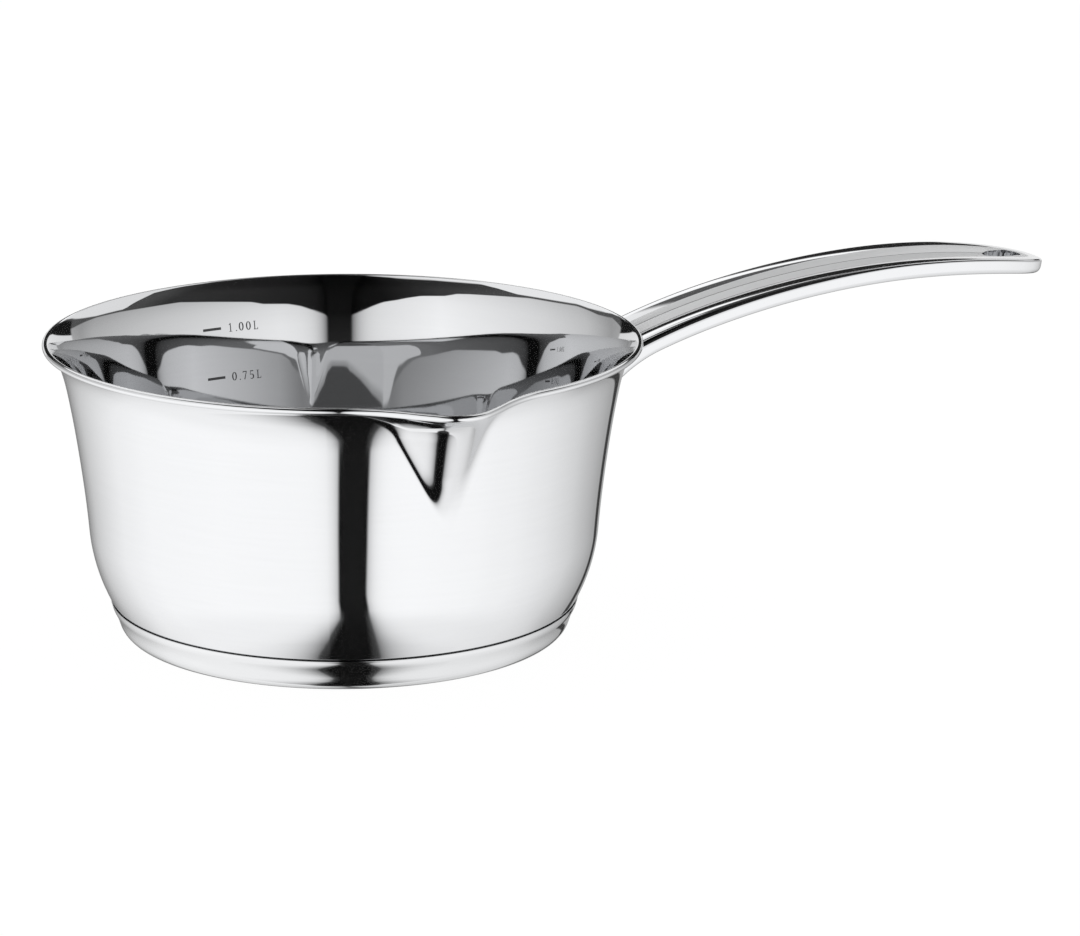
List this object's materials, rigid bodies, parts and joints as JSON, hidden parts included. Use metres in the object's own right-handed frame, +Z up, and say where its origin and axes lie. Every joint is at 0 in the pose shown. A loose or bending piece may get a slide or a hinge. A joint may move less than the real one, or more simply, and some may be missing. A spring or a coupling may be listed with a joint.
{
  "type": "saucepan",
  "caption": "Polished steel saucepan with a flared rim, a pressed pouring spout, a capsule base and an arched cast handle with a hang hole.",
  "frame": {"origin": "centre of the base's resting face, on the pan's axis", "axes": "+Z up the pan's axis, +X along the handle, -Y towards the pouring spout"},
  "size_m": [0.2999, 0.1794, 0.0943],
  "materials": {
    "polished_steel": "mirror polished",
    "aluminium_core": "plain",
    "base_steel": "polished side, turned underside",
    "cast_steel": "mirror polished"
  },
  "bodies": {
    "root": {"pan_body": "polished_steel", "spreader_core": "aluminium_core", "base_cap": "base_steel", "cast_handle": "cast_steel"}
  },
  "joints": []
}
